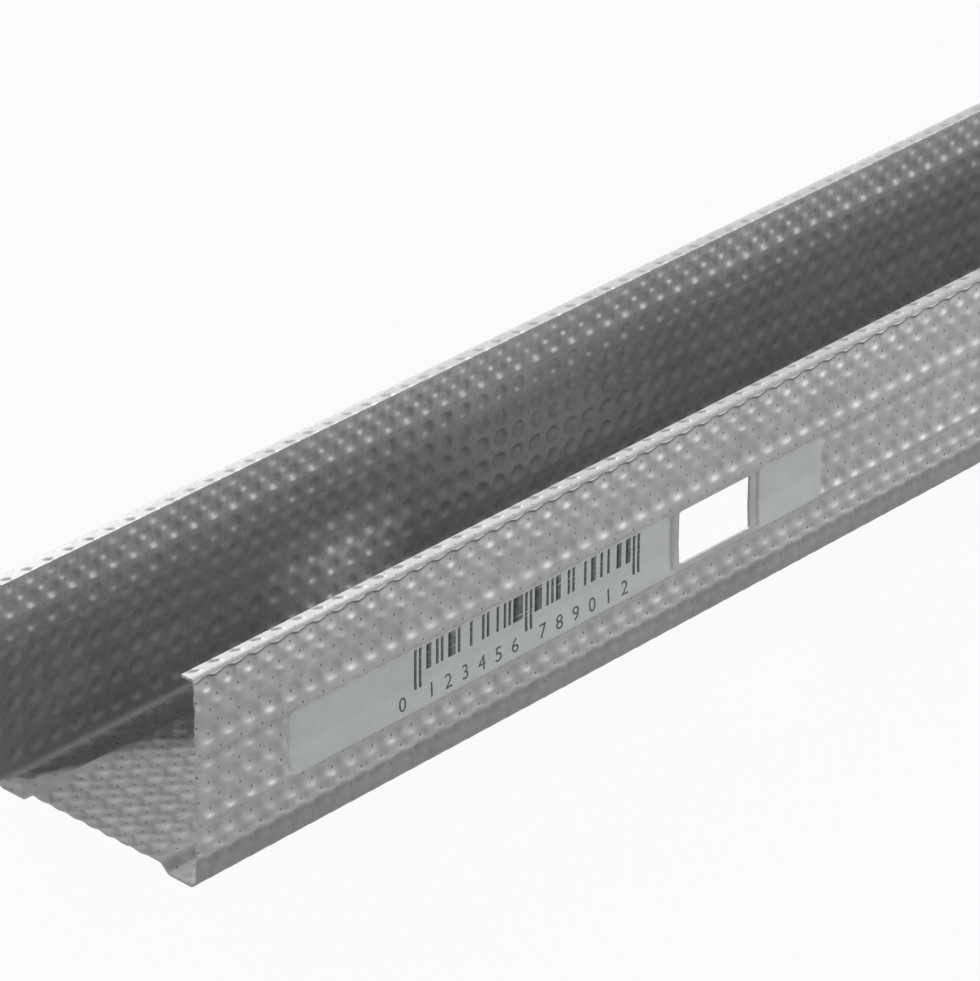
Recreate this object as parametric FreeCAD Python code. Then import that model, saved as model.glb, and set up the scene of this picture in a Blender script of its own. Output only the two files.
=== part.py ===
"""C-section metal stud for drywall partitions, roll-formed from one strip of galvanised steel.

The stud lies with its open side up. X runs along its length, Y across the web, Z up. The origin
is at the middle of the stud, on the plane that the two feet of the web rest on.

The section is one bent sheet: two lips folded inwards, two flanges with rolled creases, and a web
whose middle is raised between two feet. A window is punched through one flange near one end, and a
service opening through the web beside it.
"""
import FreeCAD, Part
import math
import os

# Length and strip
stud_length = 2600.0
sheet = 0.6

# Outer sizes of the section, over the outer faces of the sheet
web_width = 58.8
flange_height = 48.3
lip_width = 3.8
lip_bend = 0.5
foot_bend = 1.9

# Web: its middle stands above the two feet on sloped steps
web_rise = 2.1
raised_width = 37.4
step_run = 2.3
step_bend = 0.8

# Flange creases: heights are from mid-flange, and each stand-out is how far the outer face lies
# beyond half the web width there
shoulder_height = 16.5
shoulder_stand_out = 0.45
waist_height = 12.6
waist_stand_out = 0.18
brow_height = 6.4
brow_stand_out = 0.6
band_top_height = 5.15
band_bottom_height = -2.6
band_stand_out = 0.2
ridge_height = -8.65
ridge_stand_out = 0.6
valley_height = -11.55
valley_stand_out = 0.25
heel_height = -16.4
heel_stand_out = 0.5
foot_stand_out = -0.2
crease_bend = 2.0

# Window through the flange on the -Y side, from the end at -X
window_from_end = 142.8
window_length = 22.7
window_height = 12.8
window_above_feet = 16.7
window_corner = 0.6

# Service opening through the raised part of the web, from the same end
opening_from_end = 156.5
opening_length = 52.0
opening_width = 32.0
opening_corner = 6.0


def half_section():
    """Corners of the sheet's middle line on the +Y side, from the web outwards.

    Each corner is (y, z, inside bend radius). The last one is the free edge of the lip.
    """
    half_sheet = sheet / 2
    face = web_width / 2 - half_sheet
    middle = flange_height / 2
    raised_edge = raised_width / 2
    top = flange_height - half_sheet
    creases = [
        (heel_height, heel_stand_out),
        (valley_height, valley_stand_out),
        (ridge_height, ridge_stand_out),
        (band_bottom_height, band_stand_out),
        (band_top_height, band_stand_out),
        (brow_height, brow_stand_out),
        (waist_height, waist_stand_out),
        (shoulder_height, shoulder_stand_out),
    ]
    corners = [
        (raised_edge, web_rise + half_sheet, step_bend),
        (raised_edge + step_run, half_sheet, step_bend),
        (face + foot_stand_out, half_sheet, foot_bend),
    ]
    corners += [(face + stand_out, middle + height, crease_bend) for height, stand_out in creases]
    corners += [(face, top, lip_bend), (web_width / 2 - lip_width, top, 0.0)]
    return corners


def bend_arcs(corners):
    """Round every inner corner of the middle line.

    Returns, for each inner corner, the arc's centre, its middle-line radius, the angles of its
    two ends as seen from the centre, and the side that it turns to: +1 left, -1 right.
    """
    arcs = []
    for before, corner, after in zip(corners, corners[1:], corners[2:]):
        heading_in = math.atan2(corner[1] - before[1], corner[0] - before[0])
        heading_out = math.atan2(after[1] - corner[1], after[0] - corner[0])
        turn = math.remainder(heading_out - heading_in, 2 * math.pi)
        side = math.copysign(1.0, turn)
        shorter_run = min(math.dist(before[:2], corner[:2]), math.dist(corner[:2], after[:2]))
        widest_radius = 0.45 * shorter_run / math.tan(abs(turn) / 2)
        radius = min(corner[2] + sheet / 2, widest_radius)
        tangent = radius * math.tan(abs(turn) / 2)
        start = (corner[0] - tangent * math.cos(heading_in),
                 corner[1] - tangent * math.sin(heading_in))
        centre = (start[0] - side * radius * math.sin(heading_in),
                  start[1] + side * radius * math.cos(heading_in))
        arcs.append((centre, radius, heading_in - side * math.pi / 2,
                     heading_out - side * math.pi / 2, side, turn))
    return arcs


def face_edges(corners, arcs, offset):
    """Lines and arcs of the sheet's face that lies offset to the left of the middle line."""
    def on_end(corner, neighbour):
        heading = math.atan2(neighbour[1] - corner[1], neighbour[0] - corner[0])
        return FreeCAD.Vector(0, corner[0] - offset * math.sin(heading),
                              corner[1] + offset * math.cos(heading))

    def on_arc(arc, part_turned):
        centre, radius, angle_in, _, side, turn = arc
        angle = angle_in + turn * part_turned
        reach = radius - side * offset
        return FreeCAD.Vector(0, centre[0] + reach * math.cos(angle),
                              centre[1] + reach * math.sin(angle))

    edges = []
    here = on_end(corners[0], corners[1])
    for arc in arcs:
        start, through, end = on_arc(arc, 0.0), on_arc(arc, 0.5), on_arc(arc, 1.0)
        edges.append(Part.LineSegment(here, start).toShape())
        edges.append(Part.Arc(start, through, end).toShape())
        here = end
    last, previous = corners[-1], corners[-2]
    mirror_of_last = (2 * last[0] - previous[0], 2 * last[1] - previous[1])
    edges.append(Part.LineSegment(here, on_end(last, mirror_of_last)).toShape())
    return edges


def section_face():
    """The whole section as one flat face in the YZ plane."""
    half = half_section()
    other_half = [(-y, z, bend) for y, z, bend in reversed(half)]
    corners = other_half + half
    arcs = bend_arcs(corners)
    inner = face_edges(corners, arcs, sheet / 2)
    outer = face_edges(corners, arcs, -sheet / 2)
    start_cut = Part.LineSegment(outer[0].valueAt(outer[0].FirstParameter),
                                 inner[0].valueAt(inner[0].FirstParameter)).toShape()
    end_cut = Part.LineSegment(inner[-1].valueAt(inner[-1].LastParameter),
                               outer[-1].valueAt(outer[-1].LastParameter)).toShape()
    edges = Part.sortEdges([start_cut] + inner + [end_cut] + outer)[0]
    return Part.Face(Part.Wire(edges))


def rounded_punch(low, size, corner, along):
    """A box with its four edges along one axis rounded, as a punch that cuts the sheet."""
    punch = Part.makeBox(size[0], size[1], size[2], FreeCAD.Vector(*low))
    running_along = [edge for edge in punch.Edges
                     if abs(edge.tangentAt(edge.FirstParameter).dot(along)) > 0.999]
    return punch.makeFillet(corner, running_along)


def window_punch(front_end):
    """The punch of the window in the -Y flange, clear of both faces of the wall."""
    clear = 5 * sheet
    low = (front_end + window_from_end, -web_width / 2 - clear, window_above_feet)
    size = (window_length, 2 * clear, window_height)
    return rounded_punch(low, size, window_corner, FreeCAD.Vector(0, 1, 0))


def opening_punch(front_end):
    """The punch of the service opening in the web, clear of both faces of the web."""
    clear = 5 * sheet
    low = (front_end + opening_from_end, -opening_width / 2, web_rise - clear)
    size = (opening_length, opening_width, sheet + 2 * clear)
    return rounded_punch(low, size, opening_corner, FreeCAD.Vector(0, 0, 1))


def stud():
    """The section drawn out to its length, then punched."""
    front_end = -stud_length / 2
    section = section_face()
    section.translate(FreeCAD.Vector(front_end, 0, 0))
    body = section.extrude(FreeCAD.Vector(stud_length, 0, 0))
    body = body.cut(window_punch(front_end))
    return body.cut(opening_punch(front_end))


os.makedirs("parts", exist_ok=True)
part = stud()
solid = part.Solids[0]
print("valid", solid.isValid(), "solids", len(part.Solids), "volume cm3", solid.Volume / 1000)
print("box mm", solid.BoundBox)
solid.exportStep("parts/stud.step")
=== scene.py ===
"""Embossed galvanised steel drywall stud, lying with its open side up on a floor seen white."""
import math
import bmesh
import bpy
import numpy as np
from mathutils import Matrix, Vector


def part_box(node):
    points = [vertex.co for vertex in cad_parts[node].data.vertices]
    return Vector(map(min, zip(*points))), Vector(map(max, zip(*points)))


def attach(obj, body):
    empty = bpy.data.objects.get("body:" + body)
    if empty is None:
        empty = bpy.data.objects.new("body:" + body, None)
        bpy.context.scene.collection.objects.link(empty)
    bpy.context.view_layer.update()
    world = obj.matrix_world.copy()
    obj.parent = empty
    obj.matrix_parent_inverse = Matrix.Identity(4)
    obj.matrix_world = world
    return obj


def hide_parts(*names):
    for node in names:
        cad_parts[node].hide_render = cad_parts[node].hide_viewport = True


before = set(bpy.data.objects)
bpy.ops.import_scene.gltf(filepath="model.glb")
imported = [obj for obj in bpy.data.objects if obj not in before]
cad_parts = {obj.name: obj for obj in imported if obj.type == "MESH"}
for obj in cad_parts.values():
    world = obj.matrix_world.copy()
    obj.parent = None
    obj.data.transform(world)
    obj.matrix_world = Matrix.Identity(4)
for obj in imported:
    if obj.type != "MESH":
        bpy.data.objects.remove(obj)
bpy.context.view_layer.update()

# The strip of the stud
# One strip of galvanised steel, 0.6 mm thick, knurled all over between two toothed rolls and then
# bent by more rolls into lips, creased flanges and a web with a raised middle. The skin here is
# that sheet with both of its faces and its cut edges, over the same section as the plain solid.
MM = 0.001
low_corner, high_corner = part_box("stud")
STUD_LENGTH = (high_corner.x - low_corner.x) / MM
FRONT_END = low_corner.x / MM
FLANGE_HEIGHT = (high_corner.z - low_corner.z) / MM
WIDEST = high_corner.y / MM
SHEET = 0.6
WEB_WIDTH = 58.8
LIP_WIDTH, LIP_BEND, FOOT_BEND = 3.8, 0.5, 1.9
WEB_RISE, RAISED_WIDTH, STEP_RUN, STEP_BEND = 2.1, 37.4, 2.3, 0.8
CREASE_BEND = 2.0
FOOT_STAND_OUT = -0.2
# A bend takes up no more than this share of the shorter run beside it
BEND_SHARE = 0.45
# Heights from mid-flange, and how far the outer face stands out beyond half the web width there
FLANGE_CREASES = [(-16.4, 0.5), (-11.55, 0.25), (-8.65, 0.6), (-2.6, 0.2),
                  (5.15, 0.2), (6.4, 0.6), (12.6, 0.18), (16.5, 0.45)]


def section_corners():
    """Corners of the sheet's middle line from the -Y lip to the +Y lip: y, z, inside bend radius."""
    half_sheet = SHEET / 2
    face = WEB_WIDTH / 2 - half_sheet
    raised_edge = RAISED_WIDTH / 2
    middle, top = FLANGE_HEIGHT / 2, FLANGE_HEIGHT - half_sheet
    half = [(raised_edge, WEB_RISE + half_sheet, STEP_BEND),
            (raised_edge + STEP_RUN, half_sheet, STEP_BEND),
            (face + FOOT_STAND_OUT, half_sheet, FOOT_BEND)]
    half += [(face + out, middle + height, CREASE_BEND) for height, out in FLANGE_CREASES]
    half += [(face, top, LIP_BEND), (WEB_WIDTH / 2 - LIP_WIDTH, top, 0.0)]
    return [(-y, z, bend) for y, z, bend in reversed(half)] + half


def middle_line(corners, arc_points=16, line_step=0.25, lip_points=12):
    """Closely spaced points along the middle line, their outward normals, and the bends.

    Each corner is rounded by an arc tangent to its two runs, whose radius is the inside bend plus
    half the sheet; each point's normal is its heading turned a quarter turn to the right. A bend
    is given as the distance of its middle along the line, and the length of its arc.
    """
    places, headings, bends = [], [], []
    here = np.array(corners[0][:2])
    for before, corner, after in zip(corners, corners[1:], corners[2:]):
        at = np.array(corner[:2])
        run_in, run_out = at - np.array(before[:2]), np.array(after[:2]) - at
        heading_in = math.atan2(run_in[1], run_in[0])
        heading_out = math.atan2(run_out[1], run_out[0])
        turn = math.remainder(heading_out - heading_in, 2 * math.pi)
        shorter = min(np.linalg.norm(run_in), np.linalg.norm(run_out))
        radius = min(corner[2] + SHEET / 2, BEND_SHARE * shorter / math.tan(abs(turn) / 2))
        unit_in = run_in / np.linalg.norm(run_in)
        start = at - unit_in * radius * math.tan(abs(turn) / 2)
        pieces = max(2, int(np.linalg.norm(start - here) / line_step))
        share = np.linspace(0, 1, pieces, endpoint=False)[:, None]
        places.append(here + (start - here) * share)
        headings.append(np.full(pieces, heading_in))
        side = math.copysign(1.0, turn)
        centre = start + np.array([-unit_in[1], unit_in[0]]) * side * radius
        angles = heading_in + turn * np.linspace(0, 1, arc_points)
        bends.append((sum(len(run) for run in places) + arc_points // 2, radius * abs(turn)))
        places.append(centre + side * radius * np.column_stack([np.sin(angles), -np.cos(angles)]))
        headings.append(angles)
        here = places[-1][-1]
        places[-1], headings[-1] = places[-1][:-1], headings[-1][:-1]
    last = np.array(corners[-1][:2])
    places.append(here + (last - here) * np.linspace(0, 1, lip_points)[:, None])
    headings.append(np.full(lip_points, heading_out))
    places, headings = np.vstack(places), np.concatenate(headings)
    along = np.concatenate([[0], np.cumsum(np.linalg.norm(np.diff(places, axis=0), axis=1))])
    normals = np.column_stack([np.sin(headings), -np.cos(headings)])
    return along, places, normals, [(along[index], length) for index, length in bends]


LINE_AT, LINE_PLACES, LINE_NORMALS, BENDS = middle_line(section_corners())
STRIP_WIDTH = LINE_AT[-1]
LINE_Y, LINE_Z = LINE_PLACES[:, 0], LINE_PLACES[:, 1]
# Beyond this y the sheet stands up as a flange, whose heights are read up to below the lip's bend
WALL_Y, WALL_TOP = WEB_WIDTH / 2 - 1.5, 47.0
IN_WALL = (np.abs(LINE_Y) > WALL_Y) & (LINE_Z > FOOT_BEND) & (LINE_Z < WALL_TOP)
NEAR_WALL, FAR_WALL = IN_WALL & (LINE_Y < 0), IN_WALL & (LINE_Y > 0)
BOTTOM = LINE_Z < FOOT_BEND + 1.0


def near_wall_at(height):
    """Distance along the strip's width of a height on the -Y flange."""
    return np.interp(-np.asarray(height), -LINE_Z[NEAR_WALL], LINE_AT[NEAR_WALL])


def far_wall_at(height):
    """Distance along the strip's width of a height on the +Y flange."""
    return np.interp(height, LINE_Z[FAR_WALL], LINE_AT[FAR_WALL])


def bottom_at(y):
    """Distance along the strip's width of a place across the web or its feet."""
    return np.interp(y, LINE_Y[BOTTOM], LINE_AT[BOTTOM])


# Rows of teeth, in order across the strip's width. Whole rows and half rows take turns, half a
# column apart. Each row is its place, its first column's place from the front end, how far its
# teeth push the sheet outwards (negative is inwards), and their reach from the tooth's middle. The
# place is a distance from the strip's edge on a lip, a height on a flange, and a y at the bottom.
# A row that hardly pushes the sheet still carries its teeth's pin marks.
COLUMN_PITCH = 5.79
NEAR_LIP_ROWS = [(0.95, 2.45, -0.55, 1.15), (2.6, -0.1, -0.05, 1.0)]
NEAR_WALL_ROWS = [
    (46.2, 3.5, -0.42, 1.9), (43.1, 0.1, -0.32, 1.9), (40.3, 3.9, -0.26, 1.9),
    (37.4, 0.1, -0.08, 1.4), (34.9, 3.4, -0.45, 2.3), (31.2, 0.5, -0.06, 1.4),
    (29.2, 3.6, -0.34, 2.0), (26.1, 0.1, -0.05, 1.4), (23.7, 3.4, -0.38, 2.1),
    (20.3, 0.2, -0.05, 1.4), (17.8, 3.6, -0.46, 2.1), (15.0, 0.3, 0.00, 1.4),
    (12.2, 3.5, -0.38, 2.1), (8.7, 0.2, -0.34, 1.7), (5.5, 3.5, -0.22, 1.9)]
NEAR_FOOT_ROWS = [(-26.4, 0.3, 0.10, 1.3), (-24.2, 3.0, 0.12, 1.4), (-22.6, 5.5, 0.02, 1.2),
                  (-20.7, 2.6, 0.24, 1.3), (-17.9, -0.4, 0.10, 1.0)]
# The raised web's rows are evenly spaced, and differ only in y
WEB_FIRST_ROW, WEB_ROW_PITCH, WEB_ROWS = -15.2, 4.76, 7
WEB_ROW, WEB_HALF_ROW = (2.9, 0.80, 2.9), (-0.45, 0.34, 2.3)
FAR_FOOT_ROWS = [(19.8, 2.9, 0.0, 1.4), (22.9, -1.0, 0.05, 1.2), (25.5, 0.9, 0.34, 1.9),
                 (27.9, 2.0, 0.05, 1.0)]
FAR_WALL_ROWS = [
    (5.5, 5.2, 0.70, 1.9), (8.7, 2.5, 0.05, 1.2), (11.9, 5.2, 0.72, 1.9), (14.6, 2.5, 0.04, 1.2),
    (17.3, 5.2, 0.74, 1.9), (20.2, 2.5, 0.04, 1.2), (23.1, 5.3, 0.76, 1.9), (25.7, 2.5, 0.04, 1.2),
    (28.2, 5.3, 0.76, 1.9), (31.1, 2.5, 0.04, 1.2), (33.9, 5.3, 0.76, 1.9), (36.9, 2.5, 0.04, 1.2),
    (39.4, 5.1, 0.60, 1.9), (42.0, 2.4, 0.42, 1.5), (44.8, 5.1, 0.42, 1.6)]
FAR_LIP_ROWS = [(2.6, 5.7, -0.05, 1.0), (0.95, 2.45, -0.50, 1.15)]


def tooth_rows():
    """All rows as places across the strip, first columns, pushes, reaches and shapes."""
    rows = [(place, *rest, "slash") for place, *rest in NEAR_LIP_ROWS]
    rows += [(near_wall_at(height), *rest, "blunt") for height, *rest in NEAR_WALL_ROWS]
    rows += [(bottom_at(y), *rest, "blunt") for y, *rest in NEAR_FOOT_ROWS]
    for number in range(2 * WEB_ROWS):
        y = WEB_FIRST_ROW + number * WEB_ROW_PITCH / 2
        rows.append((bottom_at(y), *(WEB_HALF_ROW if number % 2 else WEB_ROW), "pillow"))
    rows += [(bottom_at(y), *rest, "crisp") for y, *rest in FAR_FOOT_ROWS]
    rows += [(far_wall_at(height), *rest, "crisp") for height, *rest in FAR_WALL_ROWS]
    return rows + [(STRIP_WIDTH - place, *rest, "slash") for place, *rest in FAR_LIP_ROWS]


TOOTH_ROWS = tooth_rows()
ROW_PLACES = np.array([row[0] for row in TOOTH_ROWS])
ROW_COUNTS = np.arange(len(TOOTH_ROWS)) / 2 - 1


def column_offsets():
    """Each row's column count at the stud's front end, kept within half a column of its neighbour.

    A tooth stands at whole counts in the whole rows and at half counts in the half rows.
    """
    offsets = []
    for count, row in zip(ROW_COUNTS, TOOTH_ROWS):
        offset = (0.5 if count % 1 else 0.0) - row[1] / COLUMN_PITCH
        if offsets:
            offset = offsets[-1] + math.remainder(offset - offsets[-1], 1.0)
        offsets.append(offset)
    return np.array(offsets)


COLUMN_OFFSETS = column_offsets()


def smooth_step(value, start, end):
    """0 before start, 1 after end, and a cubic rise between."""
    share = np.clip((value - start) / (end - start), 0, 1)
    return share * share * (3 - 2 * share)


def held_between(height, rise, fall):
    """0, then a cubic rise to 1 over the first range of heights and a fall over the second."""
    return smooth_step(height, *rise) * smooth_step(-height, -fall[1], -fall[0])


def rounded_box_distance(a, b, a_range, b_range, corner):
    """Distance outside a rectangle with rounded corners, negative inside it."""
    past_a = np.abs(a - sum(a_range) / 2) - (a_range[1] - a_range[0]) / 2 + corner
    past_b = np.abs(b - sum(b_range) / 2) - (b_range[1] - b_range[0]) / 2 + corner
    outside = np.hypot(np.maximum(past_a, 0), np.maximum(past_b, 0))
    return outside + np.minimum(np.maximum(past_a, past_b), 0) - corner


# Punched openings, and the smooth band that the rolls leave for the print with its two fields.
# Each is its range from the front end, and its range up the -Y flange or across the web.
WINDOW, WINDOW_CORNER = ((142.8, 165.5), (16.7, 29.5)), 0.6
OPENING, OPENING_CORNER = ((156.5, 208.5), (-16.0, 16.0)), 6.0
SMOOTH_BAND = ((25.7, 188.9), (15.4, 30.0))
PRINT_FIELDS = [((25.7, 139.3), (15.4, 30.0)), ((168.6, 188.9), (15.4, 30.0))]
PRINT_CORNER = 1.6
# How far outside the band and the web's opening the teeth start, and are full
BAND_FADE, OPENING_FADE = (-0.5, 0.7), (1.0, 3.0)


def knurled_share(along, across):
    """1 where the strip is knurled and 0 in the parts left smooth."""
    height, y = np.interp(across, LINE_AT, LINE_Z), np.interp(across, LINE_AT, LINE_Y)
    band = rounded_box_distance(along, height, *SMOOTH_BAND, PRINT_CORNER)
    opening = rounded_box_distance(along, y, *OPENING, OPENING_CORNER)
    share = np.where(y < -WALL_Y, smooth_step(band, *BAND_FADE), 1.0)
    return np.where(np.abs(y) < RAISED_WIDTH / 2, smooth_step(opening, *OPENING_FADE), share)


# A hollow's flatness in the middle, sharpness at the rim, and how much longer it is than high
HOLLOWS = {"crisp": (2.0, 1.2, 1.05), "blunt": (1.4, 1.35, 1.2), "slash": (1.4, 1.35, 1.2)}
# The cosine and sine of a slash's lean, and how many times it is narrowed
SLASH_COSINE, SLASH_SINE, SLASH_NARROWING = 0.86, 0.51, 3.4


def tooth_mark(du, ds, reach, shape):
    """The dent of one tooth, 1 at its middle.

    A pillow is the product of 1 - t^3 for t along each of its two diagonals, in reaches. A hollow
    is (1 - r^(2 * flatness)) ^ sharpness, where r is the distance from its middle in reaches. A
    slash is a hollow that is turned by its lean and narrowed.
    """
    if shape == "pillow":
        across, upwards = (du - ds) / reach, (du + ds) / reach
        return np.maximum(0, 1 - np.abs(across) ** 3) * np.maximum(0, 1 - np.abs(upwards) ** 3)
    if shape == "slash":
        du, ds = (SLASH_COSINE * du + SLASH_SINE * ds,
                  (SLASH_COSINE * ds - SLASH_SINE * du) * SLASH_NARROWING)
    flatness, sharpness, longer = HOLLOWS[shape]
    round_off = ((du / longer) ** 2 + ds * ds) / reach ** 2
    return np.maximum(0, 1 - round_off ** flatness) ** sharpness


def leaning_wave(along, high_at, low_at):
    """A wave of the column pitch that is 1 at high_at and -1 at low_at, so one side is steeper.

    It is the mean of a cosine and a straight-sided wave that have the same high and low places.
    """
    turn = np.mod((along - high_at) / COLUMN_PITCH, 1.0)
    fall = np.mod((low_at - high_at) / COLUMN_PITCH, 1.0)
    wave = np.cos(math.pi * np.where(turn < fall, turn / fall, 1 + (turn - fall) / (1 - fall)))
    return (wave + np.arcsin(wave) * 2 / math.pi) / 2


# The sharp crease of the -Y flange: its height, its swing with its high and low places, and how
# deep the sheet is drawn in above and below it, each with how far off that is deepest
CREASE_LINE, CREASE_SWING = 7.5, (0.65, 4.05, 9.3)
CREASE_ABOVE, CREASE_BELOW = (0.14, 1.2), (0.42, 2.2)
# The fine ledges beside the band: their heights and depth, the height over which the sheet steps
# in, and the one over which it comes back
LEDGE_LINES, LEDGE_DEPTH, LEDGE_STEP, LEDGE_RETURN = (30.5, 15.2), 0.16, 0.36, 2.4


def crease_draw(along, height):
    """How far the sheet is drawn in beside the crease: depth * t * exp(1 - t), t the reaches off."""
    swing, high_at, low_at = CREASE_SWING
    off = height - CREASE_LINE - swing * leaning_wave(along, high_at, low_at)
    t = np.where(off > 0, off / CREASE_ABOVE[1], -off / CREASE_BELOW[1])
    return np.where(off > 0, CREASE_ABOVE[0], CREASE_BELOW[0]) * t * np.exp(1 - t)


# Each tooth's depth is uneven by a share drawn for its row and column, and drawn only once for
# columns that are this many apart
UNEVEN_SEED, UNEVEN, UNEVEN_COLUMNS = 7, (0.78, 1.12), 512
# The whole +Y flange is set in, so that its deep teeth have room outwards: how far, and where the
# set-in starts and ends
SET_IN, SET_IN_RISE, SET_IN_FALL = 0.42, (2.0, 12.0), (45.4, 47.4)
# Two upright guide marks beside the window: places, depth, half width, and where they start and end
GUIDE_MARKS, GUIDE_DEPTH, GUIDE_WIDTH = (140.4, 167.8), 0.14, 0.45
GUIDE_RISE, GUIDE_FALL = (15.8, 16.6), (29.0, 29.8)


def knurl(along, across):
    """How far the sheet is pushed outwards, in millimetres.

    Each row adds its push times the dent of the nearest column's tooth, made uneven from tooth to
    tooth. The crease and the ledges draw the -Y flange in, and all of these stop at the smooth
    parts. Then the +Y flange is set in, and the guide marks are pressed in as narrow grooves.
    """
    push = np.zeros(along.shape)
    uneven = np.random.default_rng(UNEVEN_SEED).uniform(*UNEVEN, (UNEVEN_COLUMNS, len(TOOTH_ROWS)))
    for number, (place, first, depth, reach, shape) in enumerate(TOOTH_ROWS):
        beside = np.nonzero(np.abs(across - place).min(axis=0) < reach)[0]
        if len(beside) == 0 or depth == 0:
            continue
        part = np.s_[:, beside[0]:beside[-1] + 1]
        column = np.round((along[part] - first) / COLUMN_PITCH)
        du = along[part] - first - column * COLUMN_PITCH
        dent = tooth_mark(du, across[part] - place, reach, shape)
        push[part] += depth * dent * uneven[np.mod(column.astype(int), UNEVEN_COLUMNS), number]
    height, y = np.interp(across, LINE_AT, LINE_Z), np.interp(across, LINE_AT, LINE_Y)
    on_near_wall, on_far_wall = y < -WALL_Y, y > WALL_Y
    push -= crease_draw(along, height) * on_near_wall
    for line in LEDGE_LINES:
        below = np.maximum(line - height, 0)
        ledge = LEDGE_DEPTH * smooth_step(below, 0, LEDGE_STEP) * np.exp(-below / LEDGE_RETURN)
        push -= ledge * on_near_wall
    push *= knurled_share(along, across)
    push -= SET_IN * on_far_wall * held_between(height, SET_IN_RISE, SET_IN_FALL)
    beside_print = on_near_wall * held_between(height, GUIDE_RISE, GUIDE_FALL)
    for mark in GUIDE_MARKS:
        push -= GUIDE_DEPTH * np.exp(-((along - mark) / GUIDE_WIDTH) ** 2) * beside_print
    return push


# The crimp along each lip's bend: a fine ledge whose line runs up and down from tooth to tooth.
# Its place across the strip, swing, high and low places, and how far from it the grid follows it
CRIMP_AT = BENDS[0][0] + 0.15
CRIMP_SWING, CRIMP_HIGH, CRIMP_LOW = 0.22, 3.5, 5.3
CRIMP_FADE = (0.6, 1.7)
# How deep the ledge is, how far past the line it is full, and where it comes back
CRIMP_LEDGE, CRIMP_STEP, CRIMP_RETURN = 0.13, 0.16, (0.5, 1.7)
# Two creases that the teeth draw up and down: height, swing and where each is high and low, and
# how far above and below them the sheet follows
DRAWN_CREASES = [(7.3, 0.65, 4.05, 9.3), (41.3, 0.5, 4.4, 9.6)]
DRAWN_FADE = (1.2, 3.0)


def drawn_with_crimp(along, across):
    """Places across the strip, moved near the lip bends so that grid lines follow the crimp."""
    swing = CRIMP_SWING * leaning_wave(along, CRIMP_HIGH, CRIMP_LOW)
    near = 1 - smooth_step(np.abs(across - CRIMP_AT), *CRIMP_FADE)
    far = 1 - smooth_step(np.abs(across - (STRIP_WIDTH - CRIMP_AT)), *CRIMP_FADE)
    return across - swing * near + swing * far


def crimp_ledge(past_line):
    """The ledge below the crimp: a cubic drop past the line, held, and a cubic way back."""
    return (-CRIMP_LEDGE * smooth_step(past_line, 0, CRIMP_STEP)
            * (1 - smooth_step(past_line, *CRIMP_RETURN)))


def sheet_points(along, across):
    """The grid's places along and across the strip, how far each is past the crimp, and the points.

    The points are those of the outer face and of the inner one, in millimetres. A face lies half a
    sheet off the middle line plus the push, along the line's normal. Both are held inside the size
    that the last rolls give the stud.
    """
    u, nominal = np.meshgrid(along, across, indexing="ij")
    s = drawn_with_crimp(u, nominal)
    past_crimp = np.minimum(nominal - CRIMP_AT, STRIP_WIDTH - CRIMP_AT - nominal)
    push = knurl(u, s) + crimp_ledge(past_crimp)
    z = np.interp(s, LINE_AT, LINE_Z)
    lift = sum(swing * leaning_wave(u, high_at, low_at)
               * (1 - smooth_step(np.abs(z - height), *DRAWN_FADE))
               for height, swing, high_at, low_at in DRAWN_CREASES)
    wall_side = np.sign(np.interp(s, LINE_AT, LINE_Y))
    y = np.interp(s - lift * wall_side * (z > FOOT_BEND), LINE_AT, LINE_Y)
    normal_y = np.interp(s, LINE_AT, LINE_NORMALS[:, 0])
    normal_z = np.interp(s, LINE_AT, LINE_NORMALS[:, 1])
    length = np.hypot(normal_y, normal_z)
    u_shift, y_shift, z_shift = corner_draw(u, y, z)
    faces = []
    for side in (0.5, -0.5):
        out = side * SHEET + push
        face_y = np.clip(y + y_shift + normal_y / length * out, -WIDEST, WIDEST)
        face_z = np.clip(z + z_shift + normal_z / length * out, 0, FLANGE_HEIGHT)
        faces.append(np.stack([FRONT_END + u + u_shift, face_y, face_z], -1))
    return u, s, past_crimp, faces


# How far outside each opening the grid is still drawn in with its corners
WINDOW_DRAW, OPENING_DRAW = 0.7, 2.7


def corner_draw(u, y, z):
    """How far grid points near the corners of the two openings are drawn in, to round them."""
    on_web, on_near_wall = np.abs(y) < RAISED_WIDTH / 2, y < -WALL_Y
    u_web, y_web = drawn_to_round(u, y, *OPENING, OPENING_CORNER, OPENING_DRAW)
    u_wall, z_wall = drawn_to_round(u, z, *WINDOW, WINDOW_CORNER, WINDOW_DRAW)
    return u_web * on_web + u_wall * on_near_wall, y_web * on_web, z_wall * on_near_wall


def drawn_to_round(a, b, a_range, b_range, corner, margin):
    """Shifts that round a square opening's corners.

    A point on the square edge goes to the place on the corner's arc that has the same share of the
    quarter turn, and the shift dies away over the margin outside the opening.
    """
    centre_a, centre_b = sum(a_range) / 2, sum(b_range) / 2
    past_a = np.abs(a - centre_a) - (a_range[1] - a_range[0]) / 2
    past_b = np.abs(b - centre_b) - (b_range[1] - b_range[0]) / 2
    share_a = np.clip(1 + past_a / corner, 0, 1)
    share_b = np.clip(1 + past_b / corner, 0, 1)
    on_a_side = past_a >= past_b
    angle = np.pi / 4 * np.where(on_a_side, share_b, 2 - share_a)
    to_a = corner * (np.cos(angle) - 1) - np.where(on_a_side, 0, np.minimum(past_a, 0))
    to_b = corner * (np.sin(angle) - 1) - np.where(on_a_side, np.minimum(past_b, 0), 0)
    near_corner = (past_a > -corner) & (past_b > -corner)
    fade = (1 - smooth_step(np.maximum(past_a, past_b), 0, margin)) * near_corner
    return np.sign(a - centre_a) * to_a * fade, np.sign(b - centre_b) * to_b * fade


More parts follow.
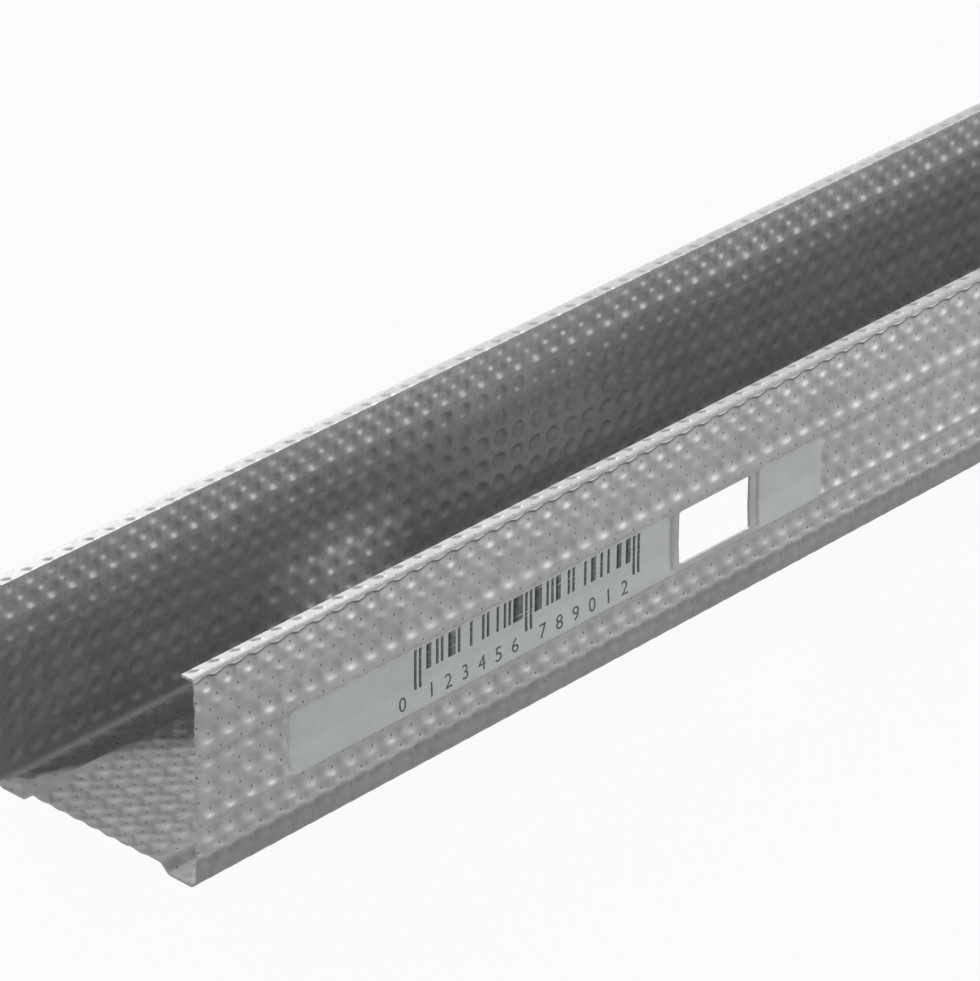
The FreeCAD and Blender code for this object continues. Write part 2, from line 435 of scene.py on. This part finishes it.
def linked(name, data):
    """A new object in the scene that carries the data."""
    made = bpy.data.objects.new(name, data)
    bpy.context.scene.collection.objects.link(made)
    return made


def add_mesh(name, points, quads):
    """A mesh object from points in millimetres and four-cornered faces, both as arrays."""
    mesh = bpy.data.meshes.new(name)
    mesh.vertices.add(len(points))
    mesh.vertices.foreach_set("co", (points * MM).astype(np.float32).ravel())
    mesh.loops.add(quads.size)
    mesh.loops.foreach_set("vertex_index", quads.ravel().astype(np.int32))
    mesh.polygons.add(len(quads))
    mesh.polygons.foreach_set("loop_start", np.arange(0, quads.size, 4, dtype=np.int32))
    mesh.update(calc_edges=True)
    return linked(name, mesh)


def sheet_quads(keep):
    """Faces of the closed sheet over the kept cells of a grid.

    The outer face's points come first, then the inner face's. Every edge of a kept cell that has
    no kept neighbour gets a wall between the two faces.
    """
    count_u, count_s = keep.shape[0] + 1, keep.shape[1] + 1
    total = count_u * count_s
    index = np.arange(total).reshape(count_u, count_s)
    a, b, c, d = index[:-1, :-1], index[1:, :-1], index[1:, 1:], index[:-1, 1:]
    outside = np.stack([a, b, c, d], axis=-1)[keep]
    inside = np.stack([d, c, b, a], axis=-1)[keep] + total
    padded = np.pad(keep, 1)
    walls = []
    for axis, (first, second) in ((0, (index[:, :-1], index[:, 1:])),
                                  (1, (index[:-1, :], index[1:, :]))):
        before = padded[:-1, 1:-1] if axis == 0 else padded[1:-1, :-1]
        after = padded[1:, 1:-1] if axis == 0 else padded[1:-1, 1:]
        for missing, present, flip in ((before, after, axis == 1), (after, before, axis == 0)):
            edge = ~missing & present
            p, q = first[edge], second[edge]
            if flip:
                p, q = q, p
            walls.append(np.stack([p, q, q + total, p + total], axis=-1))
    return np.concatenate([outside, inside] + walls)


# Distances beyond this many millimetres are all written as this
FAR_OFF = 3.0
# Heights between which a guide mark is dark
GUIDE_SEEN = (16.2, 29.6)
# Below the heel line both flanges' outer faces get painted shade, where the sheet leans in
HEEL_LINE, HEEL_FADE, HEEL_Y = 7.0, (-0.15, 0.25), WEB_WIDTH / 2 - 4
# The pins' marks start this far from the strip's edges, and are fainter on the +Y flange
PIN_EDGE_FADE, FAR_WALL_PINS = (1.5, 1.9), 0.5


def sheet_marks(u, s, past_crimp):
    """What the finish follows, for each grid place on the outer face and on the inner one.

    There are distances in millimetres to the print fields, the crimp and the guide marks, the
    share of painted shade below the heel, and how strongly the pins mark.
    """
    height, y = np.interp(s, LINE_AT, LINE_Z), np.interp(s, LINE_AT, LINE_Y)
    none_near = np.full(u.shape, FAR_OFF)
    field = np.minimum(*[rounded_box_distance(u, height, *box, PRINT_CORNER)
                         for box in PRINT_FIELDS])
    guide = np.minimum(*[np.abs(u - mark) for mark in GUIDE_MARKS])
    guide_seen = (y < -WALL_Y) & (height > GUIDE_SEEN[0]) & (height < GUIDE_SEEN[1])
    shade_below_heel = smooth_step(HEEL_LINE - height, *HEEL_FADE) * (np.abs(y) > HEEL_Y)
    from_edge = np.minimum(s, STRIP_WIDTH - s)
    knurled = (knurled_share(u, s) * smooth_step(from_edge, *PIN_EDGE_FADE)
               * np.where(y > WALL_Y, FAR_WALL_PINS, 1.0))
    return {"field_mm": (np.where(y < -WALL_Y, field, FAR_OFF), none_near),
            "crimp_mm": (past_crimp, none_near),
            "guide_mm": (np.where(guide_seen, guide, FAR_OFF), none_near),
            "shade_below_heel": (shade_below_heel, np.zeros(u.shape)),
            "knurled": (knurled, knurled)}


def sheet_piece(name, along, across, keep, sharp_degrees=50):
    """A closed mesh of the sheet over a grid of places along and across the strip.

    keep says which cells of the grid there are. The tooth counts go into a UV map, and what else
    the finish follows into attributes of the same names as its marks.
    """
    u, s, past_crimp, faces = sheet_points(along, across)
    used, compact = np.unique(sheet_quads(keep), return_inverse=True)
    quads = compact.reshape(-1, 4)
    piece = add_mesh(name, np.concatenate([face.reshape(-1, 3) for face in faces])[used], quads)
    mesh = piece.data
    columns = u / COLUMN_PITCH + np.interp(s, ROW_PLACES, COLUMN_OFFSETS)
    teeth = np.stack([columns, np.interp(s, ROW_PLACES, ROW_COUNTS)], axis=-1).reshape(-1, 2)
    corner_teeth = np.concatenate([teeth, teeth])[used][quads.ravel()]
    layer = mesh.uv_layers.new(name="teeth")
    layer.uv.foreach_set("vector", corner_teeth.astype(np.float32).ravel())
    for label, (outer, inner) in sheet_marks(u, s, past_crimp).items():
        values = np.concatenate([outer.ravel(), inner.ravel()])[used]
        held = np.clip(values, -FAR_OFF, FAR_OFF).astype(np.float32)
        mesh.attributes.new(label, "FLOAT", "POINT").data.foreach_set("value", held)
    mesh.shade_smooth()
    mesh.set_sharp_from_angle(angle=math.radians(sharp_degrees))
    return piece


def spaced(stations, step):
    """Places from the first station to the last, evenly spaced between each two and meeting all."""
    stations = np.unique(stations)
    runs = [np.linspace(a, b, max(1, math.ceil((b - a) / step - 1e-6)), endpoint=False)
            for a, b in zip(stations, stations[1:])]
    return np.concatenate(runs + [stations[-1:]])


# Distances from the crimp, and below each ledge's line, at which the grid has a place
CRIMP_STATIONS = np.array([-1.2, -0.6, -0.25, 0.0, 0.16, 0.4, 0.7, 1.15, 1.7])
LEDGE_STATIONS = (0.0, 0.18, 0.36, 0.7)
# The widest step on the lip, and the y at which each foot's grid meets its flange's
LIP_STEP, FOOT_END_Y = 0.27, 28.0


def across_places(near_step, web_step, far_step):
    """Grid places across the strip, closer together round the crimps and the ledges."""
    crimp = CRIMP_AT + CRIMP_STATIONS
    near_end, far_start = bottom_at(-FOOT_END_Y), bottom_at(FOOT_END_Y)
    window_at = [near_wall_at(height) for height in WINDOW[1]]
    lip = spaced([0.0, crimp[0]], min(near_step, LIP_STEP))
    lines_at = [near_wall_at(line - off) for line in LEDGE_LINES for off in LEDGE_STATIONS]
    near = spaced([*lip, *crimp, *window_at, *lines_at, near_end], near_step)
    web = spaced([near_end, *[bottom_at(y) for y in OPENING[1]], far_start], web_step)
    far = spaced([far_start, *(STRIP_WIDTH - crimp), STRIP_WIDTH], far_step)
    return np.unique(np.round(np.concatenate([near, web, far]), 5))


def cells_kept(along, across):
    """Which grid cells are metal: all but those in the flange window and the web's opening."""
    u = (along[:-1] + along[1:])[:, None] / 2
    s = (across[:-1] + across[1:])[None, :] / 2
    window = ((u > WINDOW[0][0]) & (u < WINDOW[0][1])
              & (s > near_wall_at(WINDOW[1][1])) & (s < near_wall_at(WINDOW[1][0])))
    opening = ((u > OPENING[0][0]) & (u < OPENING[0][1])
               & (s > bottom_at(OPENING[1][0])) & (s < bottom_at(OPENING[1][1])))
    return ~(window | opening)


def node(tree, kind, inputs=None, **settings):
    """Add one node with its settings, and set or link its inputs by name or number."""
    made = tree.nodes.new(kind)
    for name, value in settings.items():
        setattr(made, name, value)
    for socket, value in (inputs or {}).items():
        if isinstance(value, bpy.types.NodeSocket):
            tree.links.new(value, made.inputs[socket])
        else:
            made.inputs[socket].default_value = value
    return made


def linear(hex_colour):
    """The linear colour of an sRGB hex value, with an alpha of 1."""
    parts = [int(hex_colour[i:i + 2], 16) / 255 for i in (1, 3, 5)]
    return tuple(p / 12.92 if p <= 0.04045 else ((p + 0.055) / 1.055) ** 2.4 for p in parts) + (1,)


# Zinc is a satin grey with faint clouds about 11 mm across and blotches of 2 to 3 mm, a little
# paler where the rolls leave it smooth, and nearly black in its pin marks and painted shade. Each
# pair is its value in the shades and in the lights.
ZINC, SMOOTH_ZINC, DARK_MARKS_AND_SHADE = ("#A0A0A0", "#AFAFAF"), ("#B1B5B4", "#B8BCBB"), "#2A2C2D"
ZINC_ROUGHNESS, ZINC_METALLIC = (0.44, 0.52), 0.3
CLOUDS_A_METRE, BLOTCHES_A_METRE = 90.0, 420.0
# Where the sum of the two patterns is in the shades and in the lights
IN_SHADES, IN_LIGHTS = 0.6, 1.4
# The size of the pin mark under each tooth, the distance from one whole row to the next, and how
# far from a pin's middle it is full and gone, in halves of its size
PIN_LENGTH, PIN_HEIGHT, ROW_PITCH, PIN_FADE = 0.42, 0.55, 5.6, (0.5, 1.5)
# How far past the crimp its line of painted shade lies, how far from that line and from a guide
# mark the dark is full and gone, and how soft the edge of a print field is
CRIMP_SHADE_PAST, CRIMP_SHADE_FADE, GUIDE_DARK_FADE, FIELD_EDGE = 0.1, (0.1, 0.34), (0.1, 0.7), 0.06
# How far each goes to the near black: pins as marks, guide marks along their grooves, and the
# crimp's line and the band below the heel as painted shade
PIN_DARK, CRIMP_SHADE, GUIDE_DARK, HEEL_SHADE = 0.8, 0.65, 0.3, 0.38


def knurled_steel():
    """Hot-dip galvanised steel, knurled: satin zinc grey with a dark pin mark under each tooth,
    and painted shade along the crimp and below the heel.
    """
    material = bpy.data.materials.new("galvanised_steel_knurled")
    material.use_nodes = True
    tree = material.node_tree
    surface = tree.nodes["Principled BSDF"]
    place = node(tree, "ShaderNodeTexCoord").outputs["Object"]
    teeth = node(tree, "ShaderNodeUVMap", uv_map="teeth").outputs["UV"]

    def mark_of(label):
        """One of the sheet's own measures, as the mesh carries it."""
        return node(tree, "ShaderNodeAttribute", attribute_name=label).outputs["Fac"]

    def faded(value, full, none):
        """1 where the value is at full, 0 at none and beyond."""
        return node(tree, "ShaderNodeMapRange", {0: value, 1: full, 2: none, 3: 1.0, 4: 0.0},
                    interpolation_type="SMOOTHSTEP").outputs[0]

    def mixed(share, first, second):
        """The first colour where share is 0, the second where it is 1."""
        return node(tree, "ShaderNodeMix", {0: share, 6: first, 7: second},
                    data_type="RGBA").outputs[2]

    def reckoned(operation, first, second):
        """Two values taken together."""
        return node(tree, "ShaderNodeMath", {0: first, 1: second}, operation=operation).outputs[0]

    def moved(operation, vector, by):
        """A vector taken together with a fixed one."""
        return node(tree, "ShaderNodeVectorMath", {0: vector, 1: by}, operation=operation).outputs[0]

    pins = None
    for shift in (0.5, 0.0):
        turn = node(tree, "ShaderNodeVectorMath", {0: moved("ADD", teeth, (shift, shift, 0))},
                    operation="FRACTION")
        off = moved("SUBTRACT", turn.outputs[0], (0.5, 0.5, 0))
        size = moved("MULTIPLY", off,
                     (2 * COLUMN_PITCH / PIN_LENGTH, 2 * ROW_PITCH / PIN_HEIGHT, 0))
        reach = node(tree, "ShaderNodeVectorMath", {0: size}, operation="LENGTH")
        pin = faded(reach.outputs["Value"], *PIN_FADE)
        pins = pin if pins is None else reckoned("MAXIMUM", pins, pin)
    dark = reckoned("MULTIPLY", reckoned("MULTIPLY", pins, mark_of("knurled")), PIN_DARK)
    # The dark line along the crimp is painted shade in the fold under the lip's bend
    crimp = reckoned("ABSOLUTE", reckoned("SUBTRACT", mark_of("crimp_mm"), CRIMP_SHADE_PAST), 0.0)
    for share, depth in ((faded(crimp, *CRIMP_SHADE_FADE), CRIMP_SHADE),
                         (faded(mark_of("guide_mm"), *GUIDE_DARK_FADE), GUIDE_DARK),
                         # the band below the heel is painted shade
                         (mark_of("shade_below_heel"), HEEL_SHADE)):
        dark = reckoned("MAXIMUM", dark, reckoned("MULTIPLY", share, depth))
    cloud = node(tree, "ShaderNodeTexNoise",
                 {"Vector": place, "Scale": CLOUDS_A_METRE, "Detail": 3.0})
    blotch = node(tree, "ShaderNodeTexNoise",
                  {"Vector": place, "Scale": BLOTCHES_A_METRE, "Detail": 2.0})
    blend = reckoned("ADD", cloud.outputs["Fac"], blotch.outputs["Fac"])
    shade = faded(blend, IN_LIGHTS, IN_SHADES)
    metal, ground = [mixed(shade, linear(low), linear(high)) for low, high in (ZINC, SMOOTH_ZINC)]
    colour = mixed(faded(mark_of("field_mm"), -FIELD_EDGE, FIELD_EDGE), metal, ground)
    tree.links.new(mixed(dark, colour, linear(DARK_MARKS_AND_SHADE)), surface.inputs["Base Color"])
    surface.inputs["Metallic"].default_value = ZINC_METALLIC
    rough = node(tree, "ShaderNodeMapRange",
                 {0: blend, 1: IN_SHADES, 2: IN_LIGHTS, 3: ZINC_ROUGHNESS[0], 4: ZINC_ROUGHNESS[1]})
    tree.links.new(rough.outputs[0], surface.inputs["Roughness"])
    return material


STEEL = knurled_steel()
# Slices of the front part: start, end, grid step along the strip, and steps across the -Y flange,
# the web and the +Y flange. The steps are fine where a slice is seen from the front: the first all
# round, the next three on both flanges and the last on the +Y flange.
SLICES = [(0.0, 48.0, 0.48, (0.45, 0.48, 0.45)),
          (48.0, 115.0, 0.52, (0.48, 1.2, 0.5)),
          (115.0, 183.0, 0.52, (0.48, 1.2, 0.5)),
          (183.0, 250.0, 0.52, (0.48, 1.2, 0.5)),
          (250.0, 318.0, 0.6, (1.2, 1.2, 0.6))]
strips = []
for number, (start, end, step, steps_across) in enumerate(SLICES, 1):
    edges = [place for place in (*WINDOW[0], *OPENING[0]) if start < place < end]
    along, across = spaced([start, *edges, end], step), across_places(*steps_across)
    strips.append(sheet_piece(f"stud_front_{number}", along, across, cells_kept(along, across)))

# The rest of the strip has the same teeth with one grid point at each, and one between, and is
# parted in two to keep each piece's mesh small. Along the strip the points keep step with the
# first column of the whole rows and stay clear of a piece's ends. Across it, bends longer than
# LONG_BEND get three places, and places nearer than LEAST_STEP to the one before are left out.
REST_ENDS = (SLICES[-1][1], 1450.0, STUD_LENGTH)
TOOTH_PHASE, CLEAR_OF_ENDS = 3.4, 1
LONG_BEND, LEAST_STEP = 0.8, 0.25
bend_places = [place + share * length for place, length in BENDS if length > LONG_BEND
               for share in (-0.5, 0.0, 0.5)]
rest_across = np.unique(np.round([0.0, *ROW_PLACES, *bend_places,
                                  *[place for place, _ in BENDS], STRIP_WIDTH], 4))
rest_across = rest_across[np.concatenate([[True], np.diff(rest_across) > LEAST_STEP])]
rest_across[-1] = STRIP_WIDTH
for number, (start, end) in enumerate(zip(REST_ENDS, REST_ENDS[1:]), 1):
    columns = np.arange(math.ceil(2 * start / COLUMN_PITCH), 2 * end / COLUMN_PITCH) / 2
    teeth_at = TOOTH_PHASE + columns * COLUMN_PITCH
    inside = (teeth_at > start + CLEAR_OF_ENDS) & (teeth_at < end - CLEAR_OF_ENDS)
    along = np.concatenate([[start], teeth_at[inside], [end]])
    strips.append(sheet_piece(f"stud_rest_{number}", along, rest_across,
                              np.ones((len(along) - 1, len(rest_across) - 1), bool)))
for strip in strips:
    strip.data.materials.append(STEEL)
    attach(strip, "root")
    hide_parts("stud")
    print(strip.name, "triangles", 2 * len(strip.data.polygons))
print("all triangles", sum(2 * len(strip.data.polygons) for strip in strips))

# The print on the flange
# Black marking ink, stamped on the smooth field as the strip runs by: bars over plain figures. The
# film is a few hundredths of a millimetre thick, follows the flange and shows fine bare scratches.
INK_STANDS_OUT, INK_SUNK = 0.03, 0.02
BAR_MODULE, FIRST_BAR = 0.7216, 61.8
BAR_TOP, BAR_FOOT, GUARD_FOOT = 29.5, 23.65, 20.2
FIGURE_MODULES, FIGURES_A_SIDE, SIDE_GUARD_MODULES, MIDDLE_GUARD_MODULES = 7, 6, 3, 5
BAR_SEED = 20
OUTER_Y = LINE_Y[NEAR_WALL] + LINE_NORMALS[NEAR_WALL, 0] * SHEET / 2
OUTER_Z = LINE_Z[NEAR_WALL] + LINE_NORMALS[NEAR_WALL, 1] * SHEET / 2


def flange_face_at(height):
    """The y of the -Y flange's outer face at a height."""
    return np.interp(-np.asarray(height), -OUTER_Z, OUTER_Y)


def bar_layout():
    """Start, end and foot of every bar, in millimetres.

    Each figure is two bars and two gaps that share seven modules, drawn at random. Pairs of long
    guard bars stand before, between and after the two groups of figures.
    """
    dice = np.random.default_rng(BAR_SEED)
    starts, widths, feet = [0, 2], [1, 1], [GUARD_FOOT] * 2
    module = SIDE_GUARD_MODULES
    for group in range(2):
        for figure in range(FIGURES_A_SIDE):
            cuts = np.sort(dice.choice(np.arange(1, FIGURE_MODULES), 3, replace=False))
            edges = module + np.concatenate([[0], cuts, [FIGURE_MODULES]])
            dark = edges[1:] if group == 0 else edges
            starts += [dark[0], dark[2]]
            widths += [dark[1] - dark[0], dark[3] - dark[2]]
            feet += [BAR_FOOT] * 2
            module += FIGURE_MODULES
        guards = [module + 1, module + 3] if group == 0 else [module, module + 2]
        starts += guards
        widths += [1, 1]
        feet += [GUARD_FOOT] * 2
        module += MIDDLE_GUARD_MODULES
    starts = FIRST_BAR + BAR_MODULE * np.array(starts)
    return starts, starts + BAR_MODULE * np.array(widths), np.array(feet)


def ink_bars(name, starts, ends, feet, stations=8):
    """One closed mesh of all bars: each a flat tube of four sides that follows the flange upwards.

    A bar's stations share its height evenly, and at each the four corners are its two edges on
    the outer face and the same two a little inside the sheet.
    """
    share = np.linspace(0, 1, stations)[None, :, None]
    heights = feet[:, None, None] + (BAR_TOP - feet[:, None, None]) * share
    heights = np.broadcast_to(heights, (len(starts), stations, 4))
    sides = np.stack([starts, ends, ends, starts], -1)[:, None, :]
    depths = np.array([-INK_STANDS_OUT, -INK_STANDS_OUT, INK_SUNK, INK_SUNK])
    points = np.stack([FRONT_END + np.broadcast_to(sides, heights.shape),
                       flange_face_at(heights) + depths, heights], -1)
    index = np.arange(heights.size).reshape(heights.shape)
    below, above = index[:, :-1], index[:, 1:]
    around = np.stack([below, np.roll(below, -1, -1), np.roll(above, -1, -1), above], -1)
    foot, top = index[:, 0, ::-1], index[:, -1]
    return add_mesh(name, points.reshape(-1, 3),
                    np.concatenate([around.reshape(-1, 4), foot, top]))


def figure_slab(figure, slab=0.01, curve_steps=3):
    """Points and triangles of one plain figure, as a thin closed slab that lies flat."""
    curve = bpy.data.curves.new("figure", "FONT")
    curve.body = figure
    curve.resolution_u = curve_steps
    curve.extrude = slab
    letter = bpy.data.objects.new("figure", curve)
    flat = bpy.data.meshes.new_from_object(letter)
    shape = bmesh.new()
    shape.from_mesh(flat)
    bmesh.ops.remove_doubles(shape, verts=shape.verts, dist=1e-5)
    bmesh.ops.triangulate(shape, faces=shape.faces)
    bmesh.ops.recalc_face_normals(shape, faces=shape.faces)
    shape.to_mesh(flat)
    shape.free()
    bpy.data.objects.remove(letter)
    points = np.empty(3 * len(flat.vertices), np.float32)
    flat.vertices.foreach_get("co", points)
    corners = np.empty(len(flat.loops), np.int32)
    flat.loops.foreach_get("vertex_index", corners)
    return points.reshape(-1, 3).astype(float), corners.reshape(-1, 3)


def ink_figures(name, figures, centres, foot, height):
    """One closed mesh of plain figures, each as tall as given, bent to follow the flange's face."""
    all_points, all_faces, count = [], [], 0
    for figure, centre in zip(figures, centres):
        points, faces = figure_slab(figure)
        low, high = points.min(axis=0), points.max(axis=0)
        scale = height / (high[1] - low[1])
        along = centre + (points[:, 0] - (low[0] + high[0]) / 2) * scale
        up = foot + (points[:, 1] - low[1]) * scale
        depth = np.where(points[:, 2] > 0, -INK_STANDS_OUT, INK_SUNK)
        all_points.append(np.column_stack([FRONT_END + along, flange_face_at(up) + depth, up]))
        all_faces.append(faces + count)
        count += len(points)
    mesh = bpy.data.meshes.new(name)
    mesh.from_pydata((np.vstack(all_points) * MM).tolist(), [], np.vstack(all_faces).tolist())
    return linked(name, mesh)


INK_BLACK, INK_BARE, INK_ROUGHNESS = "#3C403F", "#A6ACAA", 0.6
# Scratches about 17 by 0.6 mm and a mottle of 1 mm: how many a metre, the part of their pattern
# over which they come in, and how far they take the ink towards bare zinc
SCRATCHES_A_METRE, SCRATCHED, SCRATCH_SHARE = (60.0, 0.0, 1700.0), (0.62, 0.68), 0.75
MOTTLES_A_METRE, MOTTLED, MOTTLE_SHARE = 900.0, (0.4, 0.7), 0.2


def marking_ink():
    """Black marking ink on zinc: matt and slightly worn, with bare scratches along the strip."""
    material = bpy.data.materials.new("marking_ink")
    material.use_nodes = True
    tree = material.node_tree
    surface = tree.nodes["Principled BSDF"]
    place = node(tree, "ShaderNodeTexCoord").outputs["Object"]
    drawn_out = node(tree, "ShaderNodeMapping", {"Vector": place, "Scale": SCRATCHES_A_METRE})
    streaks = node(tree, "ShaderNodeTexNoise",
                   {"Vector": drawn_out.outputs[0], "Scale": 1.0, "Detail": 1.0})
    worn = node(tree, "ShaderNodeMapRange",
                {0: streaks.outputs["Fac"], 1: SCRATCHED[0], 2: SCRATCHED[1], 3: 0.0,
                 4: SCRATCH_SHARE}, interpolation_type="SMOOTHSTEP")
    mottle = node(tree, "ShaderNodeTexNoise",
                  {"Vector": place, "Scale": MOTTLES_A_METRE, "Detail": 2.0})
    thin = node(tree, "ShaderNodeMapRange",
                {0: mottle.outputs["Fac"], 1: MOTTLED[0], 2: MOTTLED[1], 3: 0.0, 4: MOTTLE_SHARE})
    share = node(tree, "ShaderNodeMath", {0: worn.outputs[0], 1: thin.outputs[0]},
                 operation="MAXIMUM")
    colour = node(tree, "ShaderNodeMix", {0: share.outputs[0], 6: linear(INK_BLACK),
                                          7: linear(INK_BARE)}, data_type="RGBA")
    tree.links.new(colour.outputs[2], surface.inputs["Base Color"])
    surface.inputs["Roughness"].default_value = INK_ROUGHNESS
    return material


INK = marking_ink()
FIGURE_HEIGHT, FIGURE_FOOT = 3.33, 16.7
# One figure stands before the bars, and six under each group: the first one's place, the spacing
LONE_FIGURE, FIGURE_GROUPS = 58.2, ((66.8, 5.0), (100.3, 5.05))
figure_places = [LONE_FIGURE, *[first + spacing * number for first, spacing in FIGURE_GROUPS
                                for number in range(FIGURES_A_SIDE)]]
printed = [ink_bars("printed_bars", *bar_layout()),
           ink_figures("printed_figures", "0123456789012", figure_places,
                       FIGURE_FOOT, FIGURE_HEIGHT)]
for piece in printed:
    piece.data.materials.append(INK)
    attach(piece, "root")

# The floor
# A plain studio floor, painted grey for the light that it throws back on the stud. The camera and
# the zinc's reflections see it nearly white, with the stud's shadow kept.
FLOOR_REACH, FLOOR_GREY, FLOOR_ROUGHNESS, FLOOR_WHITE = 40.0, "#505050", 0.9, 0.96
floor_mesh = bpy.data.meshes.new("floor")
floor_mesh.from_pydata([(-FLOOR_REACH, -FLOOR_REACH, 0), (FLOOR_REACH, -FLOOR_REACH, 0),
                        (FLOOR_REACH, FLOOR_REACH, 0), (-FLOOR_REACH, FLOOR_REACH, 0)],
                       [], [(0, 1, 2, 3)])
floor = linked("floor", floor_mesh)
floor_material = bpy.data.materials.new("studio_floor_paint")
floor_material.use_nodes = True
tree = floor_material.node_tree
paint = tree.nodes["Principled BSDF"]
paint.inputs["Base Color"].default_value = linear(FLOOR_GREY)
paint.inputs["Roughness"].default_value = FLOOR_ROUGHNESS


def seen_by_eye(tree):
    """1 for rays that show the background: straight from the camera, reflected or let through."""
    path = node(tree, "ShaderNodeLightPath")
    mirrored = node(tree, "ShaderNodeMath",
                    {0: path.outputs["Is Camera Ray"], 1: path.outputs["Is Glossy Ray"]},
                    operation="MAXIMUM")
    return node(tree, "ShaderNodeMath",
                {0: mirrored.outputs[0], 1: path.outputs["Is Transmission Ray"]},
                operation="MAXIMUM").outputs[0]


glow = node(tree, "ShaderNodeEmission", {"Color": (1, 1, 1, 1), "Strength": 1.0})
share = node(tree, "ShaderNodeMath", {0: seen_by_eye(tree), 1: FLOOR_WHITE}, operation="MULTIPLY")
mixed = node(tree, "ShaderNodeMixShader",
             {0: share.outputs[0], 1: paint.outputs[0], 2: glow.outputs[0]})
tree.links.new(mixed.outputs[0], tree.nodes["Material Output"].inputs["Surface"])
floor_mesh.materials.append(floor_material)

# The studio
# Four soft lamps in a room that gives hardly any light of its own, and that the camera sees white.
ROOM_LIGHT = 0.02
scene = bpy.context.scene
scene.view_settings.view_transform = "Standard"
world = bpy.data.worlds.new("studio")
scene.world = world
world.use_nodes = True
tree = world.node_tree
room = tree.nodes["Background"]
room.inputs["Color"].default_value = (1, 1, 1, 1)
room.inputs["Strength"].default_value = ROOM_LIGHT
white = node(tree, "ShaderNodeBackground", {"Color": (1, 1, 1, 1), "Strength": 1.0})
mixed = node(tree, "ShaderNodeMixShader",
             {0: seen_by_eye(tree), 1: room.outputs[0], 2: white.outputs[0]})
tree.links.new(mixed.outputs[0], tree.nodes["World Output"].inputs["Surface"])
# Where the lamps point, and how far off they stand, in metres
FRONT_AIM, LAMP_DISTANCE = (-1.12, 0.0, 0.03), 3.5


def soft_lamp(name, azimuth, elevation, size, power):
    """A square area lamp seen from the stud's front part in a direction, facing that part."""
    light = bpy.data.lights.new(name, "AREA")
    light.size, light.energy = size, power
    lamp = linked(name, light)
    turned = (Matrix.Rotation(math.radians(azimuth), 4, "Z")
              @ Matrix.Rotation(math.radians(90 - elevation), 4, "Y"))
    lamp.matrix_world = (Matrix.Translation(FRONT_AIM) @ turned
                         @ Matrix.Translation((0, 0, LAMP_DISTANCE)))
    lamp.visible_camera = False


soft_lamp("key", 312, 9, 0.8, 76.0)
soft_lamp("left", 156, 49, 0.4, 84.0)
soft_lamp("top", 285, 76, 1.0, 4.0)
soft_lamp("rim", 65, 34, 1.1, 92.0)

# The camera, from the photo's perspective
CAMERA_PLACE = (-2.0613, -0.8135, 0.6856)
CAMERA_AZIMUTH, CAMERA_ELEVATION, CAMERA_ROLL = -47.158, 28.574, -0.491
CAMERA_LENS = 237.5
camera = linked("camera", bpy.data.cameras.new("camera"))
camera.data.lens = CAMERA_LENS
camera.matrix_world = (Matrix.Translation(CAMERA_PLACE)
                       @ Matrix.Rotation(math.radians(CAMERA_AZIMUTH), 4, "Z")
                       @ Matrix.Rotation(math.radians(90 - CAMERA_ELEVATION), 4, "X")
                       @ Matrix.Rotation(math.radians(-CAMERA_ROLL), 4, "Z"))
scene.camera = camera
